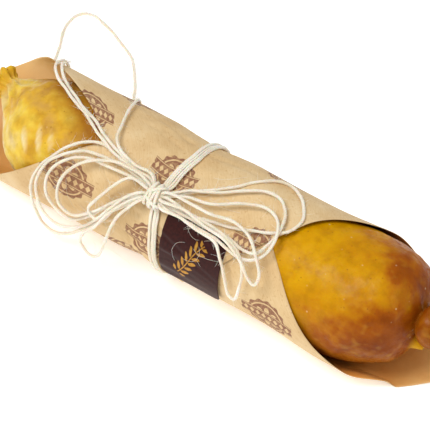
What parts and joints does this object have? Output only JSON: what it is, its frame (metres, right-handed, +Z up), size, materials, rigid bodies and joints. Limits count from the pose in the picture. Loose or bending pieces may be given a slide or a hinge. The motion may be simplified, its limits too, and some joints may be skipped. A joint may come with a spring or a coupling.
{
  "type": "wrapped cured sausage",
  "caption": "Cured sausage in a natural casing, rolled cornerwise in kraft paper and tied round the middle with a twine bow and a hanging loop.",
  "frame": {"origin": "on the floor under the middle of the package's bounding box, measured without the twine", "axes": "+X along the package towards the knobbed end, +Y towards the back, +Z up; the bow faces -Y and up"},
  "size_m": [0.3339, 0.1564, 0.0728],
  "materials": {
    "casing": "cured natural casing, waxy and mottled, yellow to brown",
    "kraft_paper": "smooth light brown kraft wrapping paper with plain printed rosettes",
    "label": "dark varnished paper label with a thin gold border",
    "twine": "undyed cotton twine, three plies, slightly fuzzy"
  },
  "bodies": {
    "root": {"sausage": "casing", "wrapping_paper": "kraft_paper", "label": "label", "twine_band_1": "twine", "twine_band_2": "twine", "twine_band_3": "twine", "twine_band_4": "twine", "twine_band_5": "twine", "twine_knot": "twine", "bow_loop_left_1": "twine", "bow_loop_left_2": "twine", "bow_loop_left_3": "twine", "bow_loop_left_4": "twine", "bow_loop_left_5": "twine", "bow_loop_left_6": "twine", "bow_loop_right_1": "twine", "bow_loop_right_2": "twine", "bow_loop_right_3": "twine", "bow_loop_right_4": "twine", "bow_loop_right_5": "twine", "hanging_loop": "twine", "twine_tail": "twine"}
  },
  "joints": []
}
